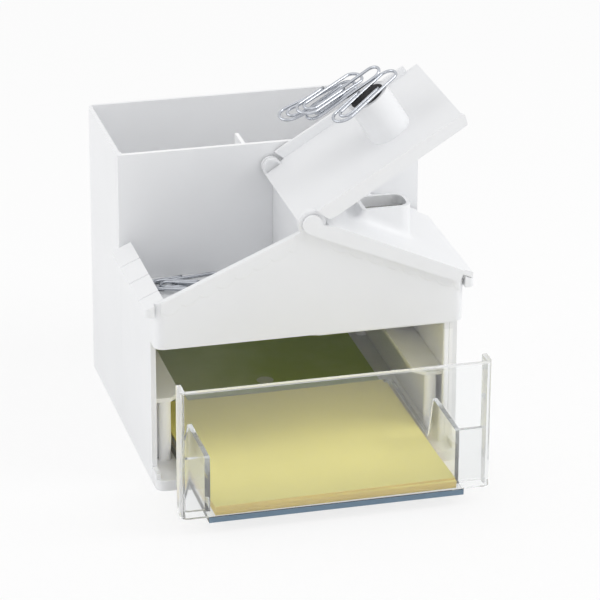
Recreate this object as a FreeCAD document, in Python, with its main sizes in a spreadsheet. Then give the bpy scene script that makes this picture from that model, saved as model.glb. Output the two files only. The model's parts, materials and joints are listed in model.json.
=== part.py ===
import FreeCAD, Part
import math
import os
from types import SimpleNamespace

import Sketcher

# Desk organizer in the shape of a small house: pens at the back, paper clips under the left
# half of the roof, a tape roll under the right half, and a clear drawer for a note pad below.
#
# Frame: millimetres, +X to the right, +Y to the back, +Z up. The origin is the middle of the
# underside. The drawer is modelled pulled out, the clip lid open and the tape cover shut.

SIZES = {
    # House and pen box
    "width": 98.0,               # outer width of the body
    "depth": 101.4,              # gable face to back face
    "rim_height": 91.7,          # top of the pen box
    "wall": 1.6,                 # walls of the house
    "box_wall": 1.3,             # walls of the pen box
    "gable_wall": 1.8,           # thickness of the gable
    "panel_wall": 1.6,           # tall wall between the house and the pens
    "house_depth": 52.7,         # gable face to the face of that wall
    "bay_height": 47.7,          # lower edge of the gable
    "leg_setback": 7.1,          # side walls start this far behind the gable below it
    "corner_radius": 3.0,        # upright front corners
    "seam_setback": 1.1,         # side seam in front of the tall wall
    "flange": 3.3,               # side return of the tall wall, behind its face
    "flange_foot": 76.0,         # height where that return starts to taper
    "lap": 0.8,                  # thickness left to each half of the lapped side seam
    "seam_gap": 0.15,            # visible seam
    "fit_gap": 0.1,              # play between moulded parts that are screwed together
    "run_gap": 0.3,              # play beside parts that move
    "pen_floor": 32.5,           # top of the floor under the pens
    "floor_wall": 1.5,           # thickness of that floor
    "divider_place": -7.6,       # middle of the pen divider, from the centre
    "divider_wall": 1.2,
    "divider_step": 11.5,        # depth of the high part of the divider
    "divider_drop": 30.0,        # how much lower the rest of the divider is
    # Roof line
    "axis_height": 84.5,         # ridge axis
    "roof_slope": 24.2,
    "seat_drop": 2.6,            # gable edge below the ridge axis, at the boss
    "seat_reach": 3.5,           # half width of the flat of the gable under the boss
    "boss_radius": 4.3,          # round ear of the gable that holds the pin
    "boss_depth": 2.0,
    "pin_radius": 1.0,
    "pin_play": 0.05,
    # Leaves of the roof
    "leaf_length": 56.9,         # ridge axis to the free edge
    "leaf_rise": 1.9,            # outer face above the ridge axis
    "leaf_wall": 1.7,
    "ridge_radius": 3.1,
    "rim_wall": 1.2,
    "rim_reach": 1.5,            # front of the leaf in front of the gable
    "rim_clear": 0.4,            # start of the lid's rims beside the round ends of the cover
    "rim_drop": 3.2,             # rim below the axis near the ridge
    "rim_far_drop": 2.1,
    "rim_length": 52.2,
    "tip_gap": 3.4,              # free edge of a leaf to the tall wall
    "tip_slant": 1.2,            # how much shorter the outer face is at the free edge
    "tip_round": 0.8,
    "leaf_gap": 0.75,            # rear of the leaves to the tall wall
    "groove_rise": 0.9,          # outer face beside the ridge roll, where both leaves thin
    "groove_reach": 3.3,
    "groove_end": 7.2,
    "corner_cut": 0.6,           # start of the outer face past the round ends of the other leaf
    "ear_wall": 1.8,
    "recess_radius": 2.4,        # round recess in the rear ear of the lid
    "recess_depth": 0.7,
    "pin_depth": 0.9,            # how far a pin reaches into an ear or rim
    "lid_angle": 32.2,           # open lid above the horizontal
    # Magnet post
    "post_place": 36.4,          # ridge axis to the middle of the post
    "post_setback": 23.4,        # behind the gable face
    "post_radius": 6.85,
    "post_length": 13.9,
    "magnet_radius": 5.6,
    "magnet_wall": 3.0,
    # Chimney
    "slot_left": 21.0,           # right of the centre
    "slot_width": 13.7,
    "tail_inset": 4.2,           # front of the slot to the tape that comes up through it
    "slot_depth": 9.5,
    "chimney_wall": 1.2,
    "chimney_root": 4.8,         # how far the tube reaches below the leaf before it is trimmed
    "chimney_top": 82.0,
    "chimney_round": 4.2,
    "chimney_flare": 3.4,        # round of the foot on the cover
    # Eaves
    "eave_reach": 3.2,           # outside the wall
    "eave_inner": 3.0,           # inside the wall face
    "eave_wall": 1.3,
    "eave_lip": 2.4,             # height of its outer face
    "eave_round": 1.8,
    "tile_groove": 0.3,
    "tile_pitch": 13.5,
    # Clip tray and tape well
    "tray_floor": 49.5,
    "tray_wall": 1.5,
    "partition_place": 1.75,     # middle of the wall towards the tape, from the centre
    "partition_top": 79.5,
    "well_slope": 22.8,          # floor under the tape, falling to the back
    "well_wall": 1.4,
    "roll_back": 3.7,            # roll to the tall wall
    "roll_head": 1.9,            # roll to the cover
    "roll_foot": 1.66,           # roll to the floor of the well
    "tape_width": 12.0,
    "tape_radius": 15.0,
    "core_radius": 10.0,
    "core_wall": 1.5,
    "axle_radius": 2.0,
    "bracket_wall": 1.5,
    "bracket_depth": 9.0,
    "tail_wall": 0.12,
    "tail_start": 3.75,          # lower end of the free tape above the spool axis
    # Base
    "base_wall": 3.5,
    "lip_height": 5.4,
    "lip_setback": 1.8,
    # Drawer guides
    "guide_top": 25.0,
    "guide_wall": 1.3,
    "guide_front": 14.0,
    "guide_gap": 2.4,            # rear end to the back wall
    "guide_reach": 11.3,
    "guide_chamfer": 3.5,
    "guide_web": 3.6,
    "web_wall": 1.2,
    "guide_post": 2.0,
    "post_inset": 6.0,
    "collar": 0.8,
    "screw_radius": 1.0,
    "screw_head": 1.9,
    "head_depth": 1.2,
    "head_sink": 0.3,            # screw head above the underside
    # Drawer
    "pull_out": 32.05,           # how far the drawer is out
    "drawer_width": 96.8,
    "drawer_low": 3.8,
    "drawer_top": 47.3,
    "drawer_wall": 1.5,
    "wing_depth": 6.8,
    "wing_low": 5.7,
    "drawer_length": 80.0,
    "cheek_gap": 10.5,           # inner face of the cheeks to the outside of the body
    "cheek_top": 23.3,
    "cheek_length": 23.0,
    "cheek_slope": 5.0,
    "rail_top": 8.0,
    # Note pad
    "pad_side": 76.0,
    "pad_wall": 3.0,
    "pad_gap": 0.35,
    "pad_turn": 0.4,
    # Paper clips
    "wire_radius": 0.5,
    "clip_length": 26.5,         # between the middles of the wire at both ends
    "clip_width": 8.0,
    "clip_outer_end": 1.3,       # free ends of the wire, from the middle of the clip
    "clip_inner_end": 4.6,
    "clip_pitch": 1.35,          # from one wire to the next, centre to centre
    "clip_gap": 0.05,            # between clips and what they lie on
    # Tear blade
    "blade_wall": 0.4,
    "blade_depth": 4.0,
    "tooth": 0.7,
    "tooth_pitch": 1.0,
    # Allowance
    "overcut": 1.0,              # how far a cut runs on past the surface it opens
}

# Clips on the magnet, in the frame of the open lid: distance from the ridge axis, distance
# behind the gable face, height above the magnet, turn in the plane, rise of the far end, roll.
MAGNET_CLIPS = (
    (35.5, 20.9, 1.2, 29.2, -5.4, 9.6),
    (30.9, 30.0, 2.18, 0.9, 0.2, 8.6),
    (23.2, 32.1, 3.95, 13.4, -14.7, 14.0),
    (27.4, 30.1, 4.51, 33.3, -14.7, 23.4),
)
# Clips in the tray: distance from the left wall, distance behind the gable face, layer, turn.
TRAY_CLIPS = (
    (17.2, 46.4, 0, 9.0),
    (19.5, 39.2, 1, -20.0),
    (9.8, 22.5, 0, 72.0),
    (31.5, 14.0, 0, 12.0),
    (25.0, 21.5, 1, 48.0),
)


class Size:
    """A number together with the sheet expression that it comes from."""

    def __init__(self, value, text):
        self.value = value
        self.text = text

    def __add__(self, other):
        return combine(self, other, "+", lambda a, b: a + b)

    def __radd__(self, other):
        return combine(other, self, "+", lambda a, b: a + b)

    def __sub__(self, other):
        return combine(self, other, "-", lambda a, b: a - b)

    def __rsub__(self, other):
        return combine(other, self, "-", lambda a, b: a - b)

    def __mul__(self, other):
        return combine(self, other, "*", lambda a, b: a * b)

    def __rmul__(self, other):
        return combine(other, self, "*", lambda a, b: a * b)

    def __truediv__(self, other):
        return combine(self, other, "/", lambda a, b: a / b)

    def __neg__(self):
        return combine(0, self, "-", lambda a, b: a - b)


def size(number):
    return number if isinstance(number, Size) else Size(float(number), repr(float(number)))


def combine(a, b, sign, work):
    a, b = size(a), size(b)
    return Size(work(a.value, b.value), f"({a.text} {sign} {b.text})")


def cosine(angle):
    return Size(math.cos(math.radians(angle.value)), f"cos({angle.text})")


def sine(angle):
    return Size(math.sin(math.radians(angle.value)), f"sin({angle.text})")


def tangent(angle):
    return Size(math.tan(math.radians(angle.value)), f"tan({angle.text})")


doc = FreeCAD.newDocument("organizer")
sheet = doc.addObject("Spreadsheet::Sheet", "Sizes")
for row, (alias, value) in enumerate(SIZES.items(), start=1):
    sheet.set(f"A{row}", alias)
    sheet.set(f"B{row}", str(value))
    sheet.setAlias(f"B{row}", alias)
doc.recompute()
S = SimpleNamespace(**{alias: Size(value, "Sizes." + alias) for alias, value in SIZES.items()})

PARTS = {}
CUTS = []
SMALLEST_CUT = 0.01
NEAR = 1e-3

# ---------------------------------------------------------------- modelling helpers


def bind(item, prop, amount):
    amount = size(amount)
    item.setExpression(prop, amount.text)


def new_body(label, is_part=True):
    body = doc.addObject("PartDesign::Body", label)
    body.Label = label
    if is_part:
        PARTS[label] = body
    return body


def attached_sketch(body, plane, offset):
    """Sketch on one of the body's own origin planes, moved along its normal."""
    sketch = body.newObject("Sketcher::SketchObject", "Outline")
    for feature in body.Origin.OriginFeatures:
        if feature.Role == plane + "_Plane":
            sketch.AttachmentSupport = (feature, [""])
    sketch.MapMode = "FlatFace"
    bind(sketch, "AttachmentOffset.Base.z", offset)
    return sketch


def hold_one(sketch, geometry, position, kind, amount):
    amount = size(amount)
    index = sketch.addConstraint(
        Sketcher.Constraint(kind, -1, 1, geometry, position, amount.value))
    sketch.setExpression(f"Constraints[{index}]", amount.text)


def hold(sketch, geometry, position, x, y):
    hold_one(sketch, geometry, position, "DistanceX", x)
    hold_one(sketch, geometry, position, "DistanceY", y)


def draw(sketch, shape):
    """Draw a polygon (list of points) or a circle (x, y, radius)."""
    if isinstance(shape, tuple):
        x, y, radius = (size(number) for number in shape)
        circle = sketch.addGeometry(Part.Circle(
            FreeCAD.Vector(x.value, y.value, 0), FreeCAD.Vector(0, 0, 1), radius.value))
        hold(sketch, circle, 3, x, y)
        index = sketch.addConstraint(Sketcher.Constraint("Radius", circle, radius.value))
        sketch.setExpression(f"Constraints[{index}]", radius.text)
        return
    corners = [(size(x), size(y)) for x, y in shape]
    lines = []
    for (x1, y1), (x2, y2) in zip(corners, corners[1:] + corners[:1]):
        lines.append(sketch.addGeometry(Part.LineSegment(
            FreeCAD.Vector(x1.value, y1.value, 0), FreeCAD.Vector(x2.value, y2.value, 0))))
    for line, following in zip(lines, lines[1:] + lines[:1]):
        sketch.addConstraint(Sketcher.Constraint("Coincident", line, 2, following, 1))
    for line, (x, y) in zip(lines, corners):
        hold(sketch, line, 1, x, y)


def place(plane, low, high):
    """Sketch offset and length so that a feature runs from low to high along +X, +Y or +Z."""
    low, high = size(low), size(high)
    return (-high if plane == "XZ" else low), high - low


def pad(body, plane, low, high, *shapes):
    offset, length = place(plane, low, high)
    sketch = attached_sketch(body, plane, offset)
    for shape in shapes:
        draw(sketch, shape)
    feature = body.newObject("PartDesign::Pad", "Pad")
    feature.Profile = sketch
    bind(feature, "Length", length)
    return feature


def pocket(body, plane, low, high, *shapes):
    offset, length = place(plane, low, high)
    sketch = attached_sketch(body, plane, offset)
    for shape in shapes:
        draw(sketch, shape)
    feature = body.newObject("PartDesign::Pocket", "Pocket")
    feature.Profile = sketch
    feature.Reversed = True
    bind(feature, "Length", length)
    CUTS.append(feature)
    return feature


def rect(x1, y1, x2, y2):
    return [(x1, y1), (x2, y1), (x2, y2), (x1, y2)]


def corner_edges(shape, **spot):
    """Names of the straight edges whose ends both lie at the given coordinates."""
    names = []
    for number, edge in enumerate(shape.Edges, start=1):
        ends = [vertex.Point for vertex in edge.Vertexes]
        if len(ends) == 2 and all(
                abs(getattr(end, axis) - size(at).value) < NEAR
                for end in ends for axis, at in spot.items()):
            names.append(f"Edge{number}")
    return names


def dress(body, kind, radius, *spots):
    """Fillet or chamfer the edges found at the given spots."""
    doc.recompute()
    base = body.Tip
    names = sorted({name for spot in spots for name in corner_edges(base.Shape, **spot)})
    feature = body.newObject("PartDesign::" + kind, kind)
    feature.Base = (base, names)
    bind(feature, "Radius" if kind == "Fillet" else "Size", radius)
    return feature


def set_place(item, x=0, y=0, z=0, axis=None, angle=0):
    if axis is not None:
        item.Placement = FreeCAD.Placement(
            FreeCAD.Vector(0, 0, 0), FreeCAD.Rotation(FreeCAD.Vector(*axis), 1))
        bind(item, "Placement.Rotation.Angle", angle)
    bind(item, "Placement.Base.x", x)
    bind(item, "Placement.Base.y", y)
    bind(item, "Placement.Base.z", z)


# ---------------------------------------------------------------- shared places

half = S.width / 2
front = -S.depth / 2
back = S.depth / 2
panel_face = front + S.house_depth
panel_back = panel_face + S.panel_wall
seam = panel_face - S.seam_setback
flange_back = panel_face + S.flange
inner = half - S.wall
box_inner = half - S.box_wall
skin = half - S.lap
leg_face = front + S.leg_setback
seat_top = S.axis_height - S.seat_drop
roof_rate = tangent(S.roof_slope)


def roof_under(x):
    """Height of the inner face of a shut leaf at distance x from the centre."""
    rise = (S.leaf_rise - S.leaf_wall) / cosine(S.roof_slope)
    return S.axis_height + rise - x * roof_rate


def seat(x):
    """Height of the gable edge at distance x from the centre."""
    seat_end = roof_under(half) - S.run_gap
    return seat_top - (x - S.seat_reach) * (seat_top - seat_end) / (half - S.seat_reach)


leaf_start = front - S.rim_reach
leaf_end = panel_face - S.leaf_gap
tip_end = panel_face - S.tip_gap
front_rim = (leaf_start, leaf_start + S.rim_wall)
rear_rim = (leaf_end - S.rim_wall, leaf_end)
ear_front = front + S.boss_depth + S.run_gap
ear_back = leaf_end - S.rim_wall - S.run_gap
wall_top = roof_under(half) - S.run_gap - S.eave_wall / cosine(S.roof_slope)

# Spool, well and slot follow the roof and the tall wall
slot_right = S.slot_left + S.slot_width
spool_left = S.slot_left + (S.slot_width - S.tape_width) / 2
spool_right = spool_left + S.tape_width
spool_setback = S.house_depth - S.tape_radius - S.roll_back
spool_height = roof_under(spool_right) - S.roll_head - S.tape_radius
tail_setback = spool_setback - S.tape_radius - S.run_gap
slot_front = tail_setback - S.tail_inset
well_drop = (S.tape_radius + S.roll_foot + S.well_wall) / cosine(S.well_slope)
well_front = spool_height - well_drop + spool_setback * tangent(S.well_slope)


# ---------------------------------------------------------------- body of the house


def front_shell():
    body = new_body("front_shell")
    gable = [(-half, S.bay_height), (half, S.bay_height), (half, seat(half)),
             (S.seat_reach, seat_top), (-S.seat_reach, seat_top), (-half, seat(half))]
    pad(body, "XZ", front, front + S.gable_wall, gable)
    pad(body, "XZ", front, front + S.boss_depth, (0, S.axis_height, S.boss_radius))
    side = [(front, S.bay_height), (leg_face, S.bay_height), (leg_face, 0), (seam, 0),
            (seam, wall_top), (front, wall_top)]
    return_plate = [(panel_back, wall_top), (flange_back, S.flange_foot),
                    (flange_back, S.rim_height), (panel_back, S.rim_height)]
    tongue = rect(seam - S.wall, S.pen_floor - S.floor_wall, panel_back, wall_top)
    sides = ((-half, -inner, -skin, -inner), (inner, half, inner, skin))
    for low, high, lap_low, lap_high in sides:
        pad(body, "YZ", low, high, side)
        pad(body, "YZ", lap_low, lap_high, tongue)
    pad(body, "XZ", panel_face, panel_back,
        rect(-skin, S.pen_floor - S.floor_wall, skin, wall_top))
    pad(body, "XZ", panel_face, panel_back, rect(-half, wall_top, half, S.rim_height))
    for low, high in ((-half, -inner), (inner, half)):
        pad(body, "YZ", low, high, return_plate)
    dress(body, "Fillet", S.corner_radius, {"x": half, "y": front}, {"x": -half, "y": front})
    hole = (0, S.axis_height, S.pin_radius)
    pocket(body, "XZ", front, front + S.boss_depth, hole)
    pocket(body, "XZ", panel_face, panel_back, hole)
    return body


def rear_box():
    body = new_body("rear_box")
    gap = S.seam_gap
    skin_side = [(seam + gap, 0), (back, 0), (back, S.rim_height),
                 (flange_back + gap, S.rim_height), (flange_back + gap, S.flange_foot),
                 (panel_back + gap, wall_top - gap), (seam + gap, wall_top - gap)]
    thick_side = [(panel_back + gap, 0), (back, 0), (back, S.rim_height),
                  (flange_back + gap, S.rim_height), (flange_back + gap, S.flange_foot),
                  (panel_back + gap, wall_top - gap)]
    pad(body, "XZ", back - S.box_wall, back, rect(-half, 0, half, S.rim_height))
    sides = ((-half, -box_inner, -half, -skin - S.fit_gap),
             (box_inner, half, skin + S.fit_gap, half))
    for low, high, skin_low, skin_high in sides:
        pad(body, "YZ", skin_low, skin_high, skin_side)
        pad(body, "YZ", low, high, thick_side)
    pad(body, "XY", S.pen_floor - S.floor_wall, S.pen_floor,
        rect(-box_inner, panel_back + S.fit_gap, box_inner, back - S.box_wall))
    dress(body, "Fillet", S.corner_radius, {"x": half, "y": back}, {"x": -half, "y": back})
    return body


def pen_divider():
    body = new_body("pen_divider")
    low = S.pen_floor
    start = panel_back + S.fit_gap
    end = back - S.box_wall - S.fit_gap
    step = start + S.divider_step
    outline = [(start, low), (end, low), (end, S.rim_height - S.divider_drop),
               (step, S.rim_height - S.divider_drop), (step, S.rim_height - S.lap),
               (start, S.rim_height - S.lap)]
    left = S.divider_place - S.divider_wall / 2
    pad(body, "YZ", left, left + S.divider_wall, outline)
    return body


def base_plate():
    body = new_body("base_plate")
    side = inner - S.fit_gap
    end = back - S.box_wall - S.fit_gap
    step = leg_face - S.fit_gap
    pad(body, "XY", 0, S.base_wall,
        [(-half, front), (half, front), (half, step), (side, step), (side, end),
         (-side, end), (-side, step), (-half, step)])
    for low, high in ((-half, -inner), (inner, half)):
        pad(body, "XY", 0, S.lip_height, rect(low, front + S.lip_setback, high, step))
    dress(body, "Fillet", S.corner_radius, {"x": half, "y": front}, {"x": -half, "y": front})
    for side_sign in (-1, 1):
        for y in guide_posts():
            x = side_sign * (half - S.post_inset)
            pocket(body, "XY", 0, S.base_wall, (x, y, S.screw_radius + S.fit_gap))
            pocket(body, "XY", 0, S.head_sink + S.head_depth, (x, y, S.screw_head + S.fit_gap))
    return body


guide_end = back - S.box_wall - S.guide_gap


def guide_posts():
    return (front + S.guide_front + S.guide_post, guide_end - S.guide_post)


def drawer_guide(label, sign):
    """Shelf that keeps the drawer down, on two screw posts and a web."""
    body = new_body(label)
    outer, edge = sign * (inner - S.fit_gap), sign * (half - S.guide_reach)
    start, end = front + S.guide_front, guide_end
    pad(body, "XY", S.guide_top - S.guide_wall, S.guide_top,
        [(outer, start), (edge + sign * S.guide_chamfer, start), (edge, start + S.guide_chamfer),
         (edge, end), (outer, end)])
    web_low, web_high = half - S.guide_web - S.web_wall, half - S.guide_web
    if sign < 0:
        web_low, web_high = -web_high, -web_low
    pad(body, "YZ", web_low, web_high,
        rect(start + S.guide_chamfer, S.base_wall, end, S.guide_top - S.guide_wall))
    for y in guide_posts():
        spot = sign * (half - S.post_inset)
        pad(body, "XY", S.base_wall, S.guide_top - S.guide_wall, (spot, y, S.guide_post))
    for y in guide_posts():
        spot = sign * (half - S.post_inset)
        depth = S.guide_top - S.guide_wall - S.collar
        pocket(body, "XY", S.base_wall, depth, (spot, y, S.screw_radius))
    return body


def guide_screws():
    """Four screws from below, one in each guide post."""
    neck = S.head_sink + S.head_depth
    tip = S.guide_top / 2
    profile = [(0, S.head_sink), (S.screw_head, S.head_sink), (S.screw_head, neck),
               (S.screw_radius, neck), (S.screw_radius, tip), (0, tip)]
    screws = []
    for x_sign in (-1, 1):
        for y in guide_posts():
            body = new_body("Screw", is_part=False)
            sketch = attached_sketch(body, "XZ", 0)
            draw(sketch, profile)
            turn = body.newObject("PartDesign::Revolution", "Turn")
            turn.Profile = sketch
            turn.ReferenceAxis = (sketch, ["V_Axis"])
            turn.Angle = 360
            set_place(body, x_sign * (half - S.post_inset), y, 0)
            screws.append(body)
    return compound("guide_screws", screws)


def eave_top(x):
    return roof_under(x) - S.run_gap


def eave(label, sign):
    """Row of roof tiles on top of a side wall, under the free edge of a leaf."""
    body = new_body(label)
    far = half + S.eave_reach
    near = half - S.eave_inner
    inside = inner - S.fit_gap
    beside = half + S.fit_gap
    lower = eave_top(far) - S.eave_lip
    seated = [(near, eave_top(near)), (far, eave_top(far)), (far, lower), (beside, lower),
              (beside, wall_top), (inside, wall_top), (inside, wall_top - S.eave_wall),
              (near, wall_top - S.eave_wall)]
    outside = [(beside, eave_top(beside)), (far, eave_top(far)), (far, lower), (beside, lower)]
    for start, outline in ((front + S.gable_wall + S.fit_gap, seated), (front, outside)):
        pad(body, "XZ", start, tip_end, [(sign * x, z) for x, z in outline])
    dress(body, "Fillet", S.eave_round, {"x": sign * far, "y": front})
    over = far + S.overcut
    groove = [(near, eave_top(near) - S.tile_groove), (near, eave_top(near) + S.overcut),
              (over, eave_top(near) + S.overcut), (over, eave_top(over) - S.tile_groove)]
    for number in range(int((tip_end - front).value / S.tile_pitch.value)):
        at = tip_end - S.tile_pitch * (number + 1)
        pocket(body, "XZ", at - S.tile_groove, at + S.tile_groove,
               [(sign * x, z) for x, z in groove])
    return body


def clip_tray():
    """Floor of the clip compartment with the wall towards the tape."""
    body = new_body("clip_tray")
    start, end = front + S.gable_wall + S.fit_gap, panel_face - S.fit_gap
    left = -(inner - S.fit_gap)
    right = S.partition_place + S.tray_wall / 2
    pad(body, "XY", S.tray_floor - S.tray_wall, S.tray_floor, rect(left, start, right, end))
    pad(body, "YZ", right - S.tray_wall, right,
        rect(start, S.tray_floor - S.tray_wall, end, S.partition_top))
    return body


def well_under(y):
    """Height of the underside of the tape well at a distance behind the gable face."""
    return well_front - y * tangent(S.well_slope)


def tape_well():
    """Sloping floor under the tape with two slotted brackets for the axle."""
    body = new_body("tape_well")
    start, end = S.gable_wall + S.fit_gap, S.house_depth - S.fit_gap
    deep = S.well_wall / cosine(S.well_slope)
    floor = [(front + start, well_under(start)), (front + end, well_under(end)),
             (front + end, well_under(end) + deep), (front + start, well_under(start) + deep)]
    left = S.partition_place + S.tray_wall / 2 + S.fit_gap
    right = S.drawer_width / 2 - S.drawer_wall - S.run_gap
    pad(body, "YZ", left, right, floor)
    near, far = spool_setback - S.bracket_depth / 2, spool_setback + S.bracket_depth / 2
    axis, top = front + spool_setback, spool_height + S.axle_radius
    bracket = [(front + near, well_under(near) + deep / 2), (front + far, well_under(far) + deep / 2),
               (front + far, top), (front + near, top)]
    reach = S.axle_radius + S.pin_play
    mouth = rect(axis - reach, spool_height, axis + reach, top + S.overcut)
    play = S.run_gap
    for low, high in ((spool_left - play - S.bracket_wall, spool_left - play),
                      (spool_right + play, spool_right + play + S.bracket_wall)):
        pad(body, "YZ", low, high, bracket)
        pocket(body, "YZ", low, high, (axis, spool_height, reach))
        pocket(body, "YZ", low, high, mouth)
    return body


def spool():
    """Axle with its hub, paper core and roll of tape, all round one axis."""
    y, z = front + spool_setback, spool_height
    reach = S.run_gap + S.bracket_wall
    hub = S.core_radius - S.core_wall
    body = new_body("tape_spindle")
    pad(body, "YZ", spool_left - reach, spool_right + reach, (y, z, S.axle_radius))
    pad(body, "YZ", spool_left, spool_right, (y, z, hub))
    body = new_body("tape_core")
    pad(body, "YZ", spool_left, spool_right, (y, z, S.core_radius), (y, z, hub))
    body = new_body("tape_roll")
    pad(body, "YZ", spool_left, spool_right, (y, z, S.tape_radius), (y, z, S.core_radius))


# ---------------------------------------------------------------- leaves of the roof


def groove_at(u):
    """Outer face of a leaf between the ridge roll and the full thickness."""
    rate = (S.leaf_rise - S.groove_rise) / (S.groove_end - S.groove_reach)
    return S.groove_rise + (u - S.groove_reach) * rate


def turned(points, up):
    """Points of a leaf's section, mirrored when its outer side faces down."""
    return [(x, up * z) for x, z in points]


pin_bore = (0, 0, S.pin_radius + S.pin_play)


def leaf(body, up, keeps_roll):
    """Half of the roof, flat in its own frame: X from the ridge outwards, up is the outer side."""
    under = S.leaf_rise - S.leaf_wall
    clear = S.boss_radius + S.run_gap
    corner = clear + S.corner_cut
    join = S.rim_length - S.leaf_wall

    plate = [(clear, under), (S.rim_length, under), (S.rim_length, S.leaf_rise),
             (S.groove_end, S.leaf_rise), (corner, groove_at(corner))]
    pad(body, "XZ", leaf_start, leaf_end, turned(plate, up))
    free_edge = (leaf_start, leaf_end) if keeps_roll else (front, tip_end)
    tip = [(join, under), (S.leaf_length - S.tip_slant / 2, under),
           (S.leaf_length - S.tip_slant, S.leaf_rise), (join, S.leaf_rise)]
    pad(body, "XZ", *free_edge, turned(tip, up))
    if keeps_roll:
        rim_tip = [(join, under), (S.leaf_length - S.tip_slant / 2, under),
                   (S.leaf_length, -S.rim_far_drop), (join, -S.rim_far_drop)]
        pad(body, "XZ", *front_rim, turned(rim_tip, up))
        dress(body, "Fillet", S.tip_round, {"x": S.leaf_length, "z": -up * S.rim_far_drop})
        near = S.ridge_radius + S.rim_clear
        hinge_end = [(clear + S.ear_wall, -S.rim_drop), (near, -S.ridge_radius), (clear, under)]
    else:
        hinge_end = [(0, -S.ridge_radius), (0, S.groove_rise), (S.groove_reach, S.groove_rise),
                     (corner, groove_at(corner)), (corner + S.overcut, under)]
    rim = [(S.rim_length, under), (S.rim_length, -S.rim_far_drop), *hinge_end]
    for low, high in (front_rim, rear_rim):
        pad(body, "XZ", low, high, turned(rim, up))
        if not keeps_roll:
            pad(body, "XZ", low, high, (0, 0, S.ridge_radius))
    if not keeps_roll:
        blind = S.pin_depth + S.fit_gap
        pocket(body, "XZ", front_rim[1] - blind, front_rim[1], pin_bore)
        pocket(body, "XZ", rear_rim[0], rear_rim[1], pin_bore)
    return body


def lid_ridge(up):
    """Round ridge of the lid with its ears, hollow below, in the frame of the lid."""
    body = new_body("clip_lid_ridge")
    under = S.leaf_rise - S.leaf_wall
    clear = S.boss_radius + S.run_gap
    corner = clear + S.corner_cut
    strip = [(0, under), (clear, under), (corner, groove_at(corner)),
             (S.groove_reach, S.groove_rise), (0, S.groove_rise)]
    pad(body, "XZ", ear_front, ear_back, turned(strip, up))
    pad(body, "XZ", ear_front, ear_back, (0, 0, S.ridge_radius))
    reach = S.boss_radius
    below = rect(-reach, under, reach, under - reach)
    pocket(body, "XZ", ear_front + S.ear_wall, ear_back - S.ear_wall, turned(below, up))
    blind = S.pin_depth + S.fit_gap
    pocket(body, "XZ", ear_front, ear_front + blind, pin_bore)
    pocket(body, "XZ", ear_back - blind, ear_back, pin_bore)
    recess = ear_back - S.ear_wall
    pocket(body, "XZ", recess, recess + S.recess_depth, (0, 0, S.recess_radius))
    return body


def hinge_pins():
    """Pin through the ear of the gable, and pin through the tall wall."""
    spans = {"front_hinge_pin": (front_rim[1] - S.pin_depth, ear_front + S.pin_depth),
             "rear_hinge_pin": (ear_back - S.pin_depth, panel_back)}
    for label, (low, high) in spans.items():
        pad(new_body(label), "XZ", low, high, (0, S.axis_height, S.pin_radius))


def post_on(lid):
    """Round post under the lid with a seat for the magnet in its end."""
    under = S.leaf_wall - S.leaf_rise
    y = front + S.post_setback
    pad(lid, "XY", under, under + S.post_length, (S.post_place, y, S.post_radius))
    pocket(lid, "XY", under + S.post_length - S.magnet_wall, under + S.post_length,
           (S.post_place, y, S.magnet_radius))


def lid_magnet():
    body = new_body("lid_magnet")
    top = S.leaf_wall - S.leaf_rise + S.post_length
    pad(body, "XY", top - S.magnet_wall, top, (S.post_place, front + S.post_setback, S.magnet_radius))
    return body


def chimney_on(leaf_body):
    """Upright square tube with a flared foot on the cover, cut through for the tape."""
    low = roof_under(slot_right) - S.chimney_root
    left, right = S.slot_left - S.chimney_wall, slot_right + S.chimney_wall
    slot_near, slot_far = front + slot_front, front + slot_front + S.slot_depth
    near, far = slot_near - S.chimney_wall, slot_far + S.chimney_wall
    tube = new_body("ChimneyTube", is_part=False)
    pad(tube, "XY", low, S.chimney_top, rect(left, near, right, far))
    dress(tube, "Fillet", S.chimney_round, {"x": right, "y": near}, {"x": right, "y": far})
    dress(tube, "Fillet", S.chimney_wall, {"x": left, "y": near}, {"x": left, "y": far})
    waste = doc.addObject("Part::Box", "BelowLeaf")
    bind(waste, "Length", S.leaf_length)
    bind(waste, "Width", S.house_depth)
    bind(waste, "Height", S.leaf_length)
    thin = S.leaf_rise - S.leaf_wall / 2
    set_place(waste, -(S.leaf_length - thin) * sine(S.roof_slope), front,
              S.axis_height - (S.leaf_length - thin) * cosine(S.roof_slope), (0, 1, 0), S.roof_slope)
    stub = boolean("Part::Cut", "ChimneyStub", tube, waste)
    joined = boolean("Part::Fuse", "LeafAndChimney", leaf_body, stub)
    doc.recompute()
    foot = doc.addObject("Part::Fillet", "ChimneyFoot")
    foot.Base = joined
    edges = []
    normal = (sine(S.roof_slope).value, cosine(S.roof_slope).value)
    slack = S.fit_gap.value
    for number, edge in enumerate(joined.Shape.Edges, start=1):
        middle = edge.valueAt((edge.FirstParameter + edge.LastParameter) / 2)
        rise = middle.x * normal[0] + (middle.z - S.axis_height.value) * normal[1]
        inside_x = left.value - slack < middle.x < right.value + slack
        inside_y = near.value - slack < middle.y < far.value + slack
        if abs(rise - S.leaf_rise.value) < NEAR and inside_x and inside_y:
            edges.append((number, S.chimney_flare.value, S.chimney_flare.value))
    foot.Edges = edges
    slot = new_body("Slot", is_part=False)
    pad(slot, "XY", low, low + S.leaf_length, rect(S.slot_left, slot_near, slot_right, slot_far))
    dress(slot, "Fillet", S.chimney_round - S.chimney_wall,
          {"x": slot_right, "y": slot_near}, {"x": slot_right, "y": slot_far})
    result = boolean("Part::Cut", "tape_cover", foot, slot)
    result.Label = "tape_cover"
    PARTS["tape_cover"] = result
    return result


def boolean(kind, name, base, tool):
    item = doc.addObject(kind, name)
    item.Base = base
    item.Tool = tool
    return item


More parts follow.
